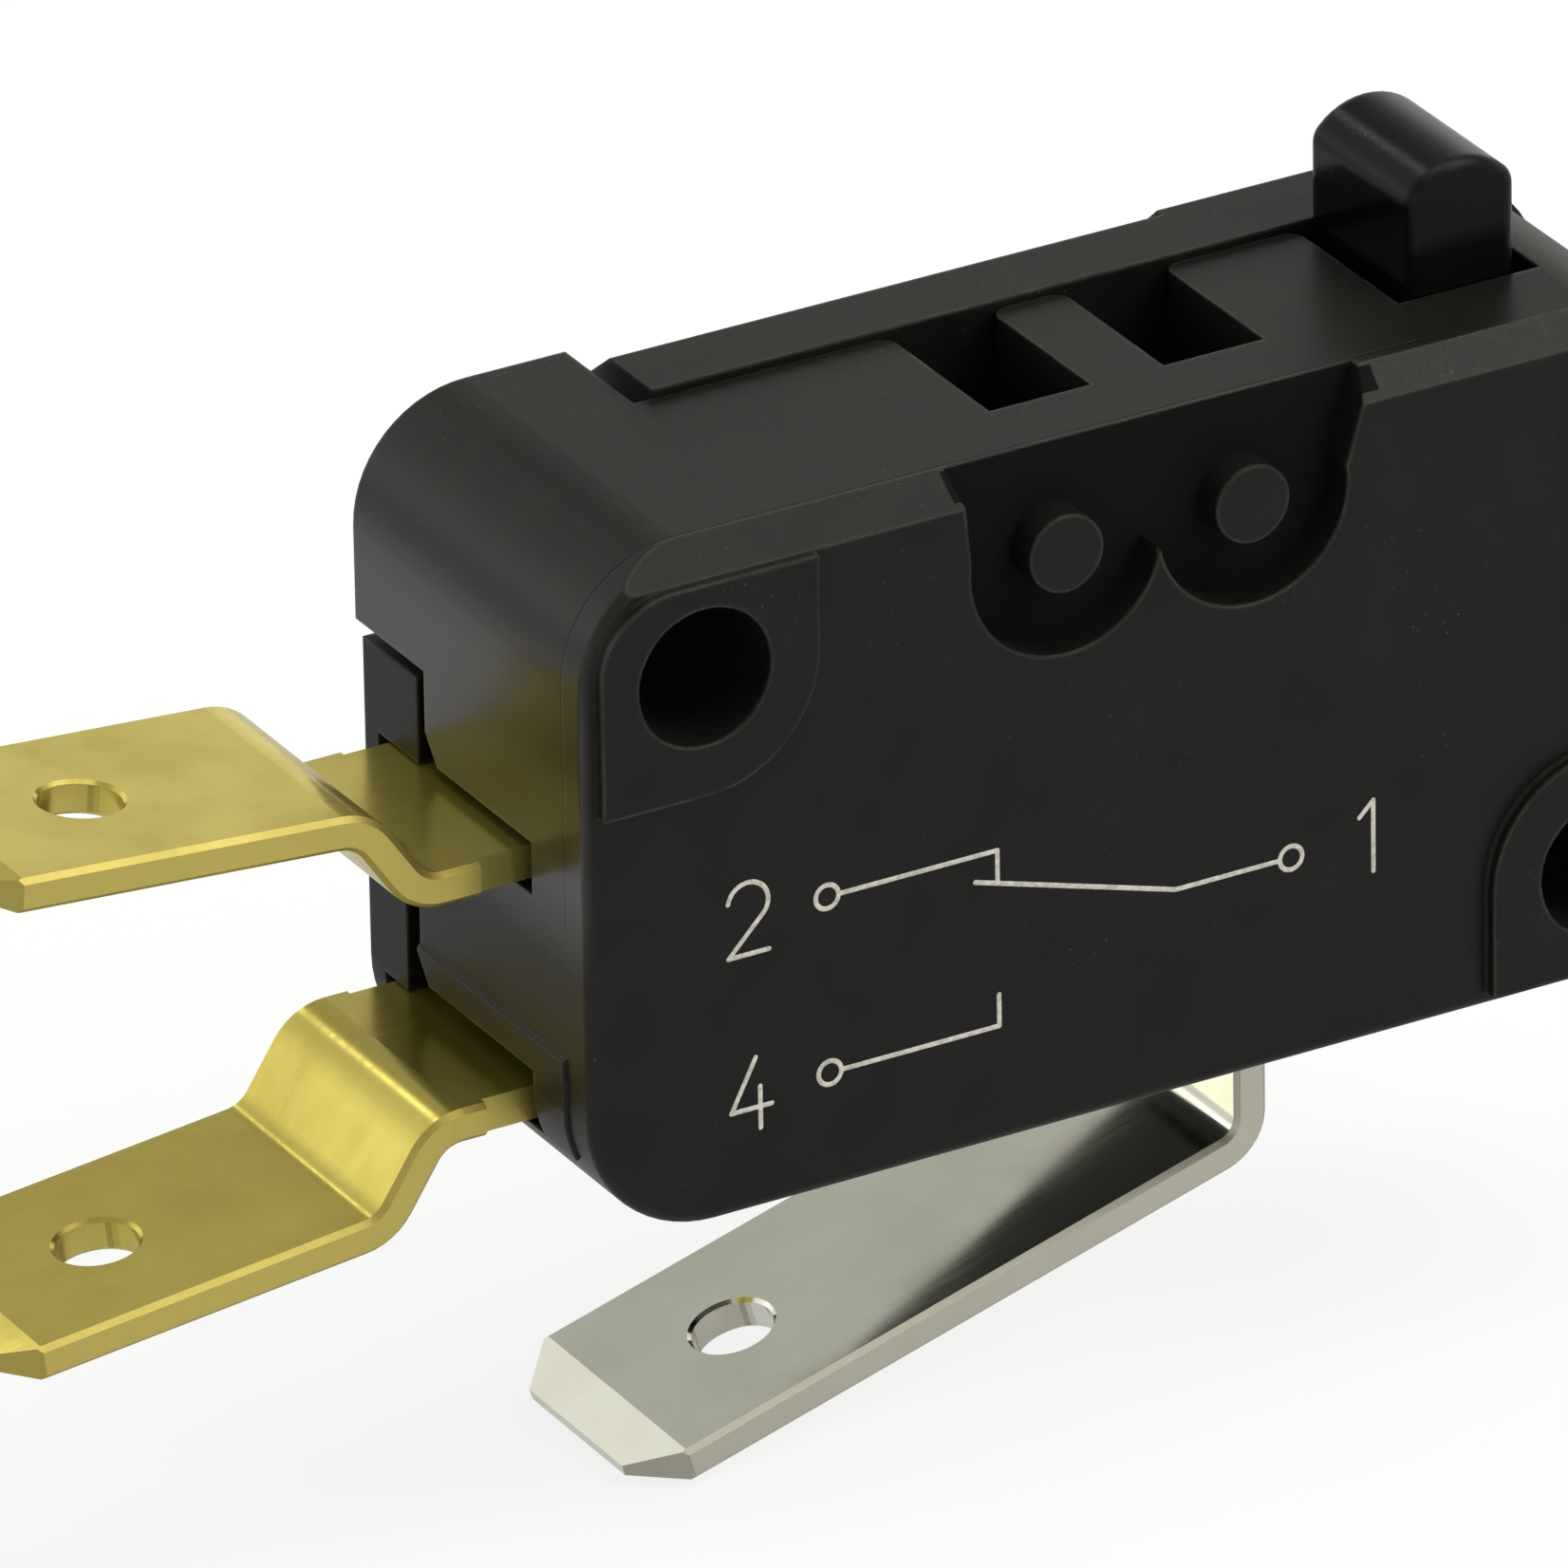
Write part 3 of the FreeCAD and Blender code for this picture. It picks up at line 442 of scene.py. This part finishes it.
def stroke(points):
    """One printed stroke along points, given as x and z in metres.

    Its cross-section is a flat ellipse. The ellipse is carried along the path with its long
    half axis square to the path, and both half axes shrink by a quarter circle over the last
    half width at either end, which rounds and closes the stroke.
    """
    path = np.asarray(points, float)
    ahead = np.gradient(path, axis=0)
    ahead /= np.linalg.norm(ahead, axis=1, keepdims=True)
    swing = np.linspace(0.0, math.pi / 2, cap_count)
    start = path[0] - ahead[0] * stroke_half_width * np.cos(swing)[:, None]
    end = path[-1] + ahead[-1] * stroke_half_width * np.sin(swing)[:, None]
    centre = np.vstack([start, path[1:-1], end])
    heading = np.vstack([np.repeat(ahead[:1], cap_count, 0), ahead[1:-1],
                         np.repeat(ahead[-1:], cap_count, 0)])
    size = np.concatenate([np.sin(swing), np.ones(len(path) - 2), np.cos(swing)])
    around = np.linspace(0.0, 2 * math.pi, across_count, endpoint=False)
    sideways = np.stack([-heading[:, 1], heading[:, 0]], 1)[:, None, :]
    wide = (size[:, None] * np.cos(around)[None, :] * stroke_half_width)[:, :, None]
    flat_xz = centre[:, None, :] + sideways * wide
    proud = front_y - size[:, None] * np.sin(around)[None, :] * stroke_height
    verts = np.stack([flat_xz[:, :, 0], proud, flat_xz[:, :, 1]], 2).reshape(-1, 3)
    row = np.arange(len(centre) - 1)[:, None] * across_count
    column = np.arange(across_count)[None, :]
    following = (column + 1) % across_count
    faces = np.stack([row + column, row + following, row + across_count + following,
                      row + across_count + column], 2).reshape(-1, 4)
    return verts, faces


def straight(x0, z0, x1, z1):
    """Three points on the line between two places in millimetres."""
    share = np.linspace(0.0, 1.0, 3)[:, None]
    return (np.array([[x0, z0]]) * (1 - share) + np.array([[x1, z1]]) * share) / 1000


def arc(x, z, radius, from_degrees, to_degrees):
    """Points on the arc round a place in millimetres."""
    turn = np.radians(np.linspace(from_degrees, to_degrees, arc_count))
    return np.stack([x + radius * np.cos(turn), z + radius * np.sin(turn)], 1) / 1000


def numeral(sign, x, z, height):
    """Paths of the numeral 1, 2 or 4 with its lower left corner at x, z in millimetres.

    Its strokes start and end at shares of the numeral's width and height.
    """
    width = height * 0.58
    top = z + height
    if sign == 1:
        stem_x = x + width * 0.55
        return [straight(x + width * 0.2, z + height * 0.8, stem_x, top), straight(stem_x, top, stem_x, z)]
    if sign == 2:
        bowl = width / 2
        bowl_start, bowl_end = 170, -35
        leaving = math.radians(-bowl_end)
        return [arc(x + bowl, top - bowl, bowl, bowl_start, bowl_end),
                straight(x + bowl * (1 + math.cos(leaving)), top - bowl * (1 + math.sin(leaving)), x, z),
                straight(x, z, x + width, z)]
    bar_z = z + height * 0.3
    stem_x = x + width * 0.72
    return [straight(x + width * 0.62, top, x, bar_z), straight(x, bar_z, x + width, bar_z),
            straight(stem_x, z + height * 0.58, stem_x, z)]


upper_z = -6.1
lower_z = -10.3
sign_z = (upper_z + lower_z) / 2
number_height = 1.7
number_left = 0.6
common_left = 16.0
sign_left = 3.3
fixed_end = 7.2
tick = 0.75
pivot_x = 11.6
sign_right = 14.2
dot = 0.28
blade_short = 0.55
blade_drop = 0.62
paths = []
for sign, x, z in ((2, number_left, upper_z), (4, number_left, lower_z), (1, common_left, sign_z)):
    paths += numeral(sign, x, z - number_height / 2, number_height)
for z, drop in ((upper_z, -tick), (lower_z, tick)):
    paths.append(arc(sign_left - dot, z, dot, 0, 360))
    paths.append(straight(sign_left, z, fixed_end, z))
    paths.append(straight(fixed_end, z, fixed_end, z + drop))
paths.append(arc(sign_right + dot, sign_z, dot, 180, 540))
paths.append(straight(sign_right, sign_z, pivot_x, sign_z))
paths.append(straight(pivot_x, sign_z, fixed_end - blade_short, upper_z - blade_drop))

strokes = [stroke(path) for path in paths]
offsets = np.cumsum([0] + [len(verts) for verts, faces in strokes[:-1]])
marks_mesh = bpy.data.meshes.new("front_marks")
marks_mesh.from_pydata(np.vstack([verts for verts, faces in strokes]).tolist(), [],
                       np.vstack([faces + base for (verts, faces), base in zip(strokes, offsets)]).tolist())
marks_mesh.validate()
marks_mesh.update()
marks_mesh.polygons.foreach_set("use_smooth", [True] * len(marks_mesh.polygons))
marks = bpy.data.objects.new("front_marks", marks_mesh)
bpy.context.scene.collection.objects.link(marks)
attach(marks, "housing")

thin_ink = (0.40, 0.39, 0.34, 1.0)
full_ink = (0.60, 0.58, 0.52, 1.0)
thin_roughness = 0.7
full_roughness = 0.5
blotch_size = 0.00012
blotch_levels = (0.35, 0.62)
ink, print_film, ink_shader = new_material("mark_ink")
where = add(print_film, "TexCoord").outputs["Object"]
covered = remap(print_film, noise(print_film, where, blotch_size), *blotch_levels)
feed(print_film, ink_shader.inputs["Base Color"], mix_colours(print_film, covered, thin_ink, full_ink))
feed(print_film, ink_shader.inputs["Roughness"],
     blend_values(print_film, covered, thin_roughness, full_roughness))
marks_mesh.materials.append(ink)


# The plunger: the same black plastic from a polished mould, glossy with hardly any grain, and
# lightened a little along its edges, as wear and painted highlight. It slides in the opening at the right
# of the top.
plunger_black = moulded_plastic(
    "plunger_black", colour=(0.0022, 0.0021, 0.0018, 1.0), wear_and_highlight_colour=(0.012, 0.0118, 0.0105, 1.0),
    roughness=0.17, grain_size=0.00014, grain_depth=0.0000003, specular=0.14, edge_radius=0.0002)[0]
give(plunger_black, "plunger")


# The lever under the plunger: a bell crank moulded of natural white nylon, unpolished, its edges lightened
# as wear and painted highlight. Its two trunnions turn in bearings in the base and in the cover.
lever_white = moulded_plastic(
    "lever_white", colour=(0.55, 0.52, 0.43, 1.0), wear_and_highlight_colour=(0.80, 0.78, 0.70, 1.0),
    roughness=0.45, grain_size=0.00008, grain_depth=0.000002, specular=0.4, edge_radius=0.00008)[0]
give(lever_white, "actuating_lever")


# The two end terminals: hard brass strip, stamped and bent. The rolling mill leaves fine
# streaks along the tab, the punch leaves upright ones on the cut sides, and the skin is
# a little tarnished.
flat_scale = (250.0, 8000.0, 800.0)
side_scale = (6000.0, 500.0, 900.0)
side_facing = (0.6, 0.8)
rolled_streaks, given, result = effect(
    "rolled_streaks", [("Vector", "Vector"), ("Depth", "Float")],
    [("Normal", "Vector"), ("Streaks", "Float"), ("Cut Side", "Float"), ("Pressed Edge", "Float")])
facing = add(rolled_streaks, "SeparateXYZ",
             [("Vector", add(rolled_streaks, "NewGeometry").outputs["True Normal"])]).outputs
cut_side = remap(rolled_streaks, calc(rolled_streaks, "ABSOLUTE", facing["Y"]), *side_facing)
along = add(rolled_streaks, "Mapping", [("Vector", given["Vector"]), ("Scale", flat_scale)])
upright = add(rolled_streaks, "Mapping", [("Vector", given["Vector"]), ("Scale", side_scale)])
flat_streaks = add(rolled_streaks, "TexNoise", [("Vector", along.outputs["Vector"]), ("Scale", 1.0),
                                                ("Detail", 4.0)]).outputs[0]
side_streaks = add(rolled_streaks, "TexNoise", [("Vector", upright.outputs["Vector"]), ("Scale", 1.0),
                                                ("Detail", 3.0)]).outputs[0]
streaks = blend_values(rolled_streaks, cut_side, flat_streaks, side_streaks)
smooth_normal = add(rolled_streaks, "NewGeometry").outputs["Normal"]
feed(rolled_streaks, result["Normal"], dent(rolled_streaks, streaks, given["Depth"], smooth_normal))
feed(rolled_streaks, result["Streaks"], streaks)
feed(rolled_streaks, result["Cut Side"], cut_side)
# The pressed edge lies where the flat face turns into the cut side: 4 c (1 - c), with c the
# share of cut side, is 1 half way and 0 on both.
feed(rolled_streaks, result["Pressed Edge"],
     calc(rolled_streaks, "MULTIPLY", calc(rolled_streaks, "MULTIPLY", cut_side, 4.0),
          calc(rolled_streaks, "SUBTRACT", 1.0, cut_side)))

# What all the strip metals have in common: their patches, sides, pressed edges painted darker as shade, and
# streaks.
patch_size = 0.0022
patch_levels = (0.38, 0.66)
side_share = 0.8
side_dullness = 0.08
pressed_edge_shade_share = 0.7
pressed_edge_painted_shade = 0.6
pressed_dullness = 0.2
streak_levels = (0.3, 0.7)
smooth_streak = 0.85
rough_streak = 1.2
patch_dullness = 0.3


def strip_metal(name, colour, dull_colour, side_colour, roughness, streak_depth, metallic=1.0):
    """Metal strip with rolling streaks, duller patches, rougher sides and duller pressed edges painted
    darker as shade.
    """
    material, tree, shader = new_material(name)
    where = add(tree, "TexCoord").outputs["Object"]
    rolled = place(tree, rolled_streaks, [("Vector", where), ("Depth", streak_depth)])
    patches = remap(tree, noise(tree, where, patch_size, 4.0), *patch_levels)
    tone = mix_colours(tree, patches, colour, dull_colour)
    tone = mix_colours(tree, calc(tree, "MULTIPLY", rolled["Cut Side"], side_share), tone, side_colour)
    # Painted shade: the pressed edges are darkened to a shade of the side colour.
    tone = mix_colours(tree, calc(tree, "MULTIPLY", rolled["Pressed Edge"], pressed_edge_shade_share), tone,
                       scaled(side_colour, pressed_edge_painted_shade))
    feed(tree, shader.inputs["Base Color"], tone)
    feed(tree, shader.inputs["Metallic"], metallic)
    rough = remap(tree, rolled["Streaks"], *streak_levels, roughness * smooth_streak,
                  roughness * rough_streak)
    for mask, dullness in ((patches, roughness * patch_dullness), (rolled["Cut Side"], side_dullness),
                           (rolled["Pressed Edge"], pressed_dullness)):
        rough = calc(tree, "ADD", rough, calc(tree, "MULTIPLY", mask, dullness))
    feed(tree, shader.inputs["Roughness"], rough)
    feed(tree, shader.inputs["Normal"], rolled["Normal"])
    return material


brass = strip_metal(
    "terminal_brass", colour=(0.645, 0.555, 0.115, 1.0), dull_colour=(0.56, 0.465, 0.085, 1.0),
    side_colour=(0.57, 0.475, 0.125, 1.0), roughness=0.2, streak_depth=0.0000001, metallic=0.82)
give(brass, "nc_terminal", "no_terminal")


# The common terminal: the same strip with a bright tin plating, which mirrors the dark
# underside of the housing. Its leg comes out of the bottom, and its tab is bent under the
# housing towards the end with the other two.
tin = strip_metal(
    "terminal_tin", colour=(0.90, 0.91, 0.79, 1.0), dull_colour=(0.83, 0.84, 0.70, 1.0),
    side_colour=(0.53, 0.52, 0.42, 1.0), roughness=0.1, streak_depth=0.0000001)
give(tin, "com_terminal")


# The contacts: silver alloy rivets with faces dulled by switching. One is riveted through
# each end terminal, and a two-faced one through the blade between them.
silver = strip_metal(
    "contact_silver", colour=(0.83, 0.82, 0.79, 1.0), dull_colour=(0.60, 0.58, 0.54, 1.0),
    side_colour=(0.80, 0.79, 0.76, 1.0), roughness=0.28, streak_depth=0.0000005)
give(silver, "nc_contact", "no_contact", "moving_contact")


# The moving blade: thin rolled copper alloy, pierced for the spring. It rocks on the common
# terminal and carries the two-faced contact.
copper = strip_metal(
    "arm_copper", colour=(0.76, 0.47, 0.30, 1.0), dull_colour=(0.66, 0.37, 0.22, 1.0),
    side_colour=(0.78, 0.52, 0.36, 1.0), roughness=0.26, streak_depth=0.0000004)
give(copper, "contact_arm")


# The snap spring: a tension coil of drawn steel wire with a satin skin. One of its hooks
# holds the blade and the other the lever.
steel = strip_metal(
    "spring_steel", colour=(0.56, 0.57, 0.58, 1.0), dull_colour=(0.42, 0.42, 0.43, 1.0),
    side_colour=(0.56, 0.57, 0.58, 1.0), roughness=0.3, streak_depth=0.0000003)
give(steel, "snap_spring")


# Brings the scene up to date.
bpy.context.view_layer.update()
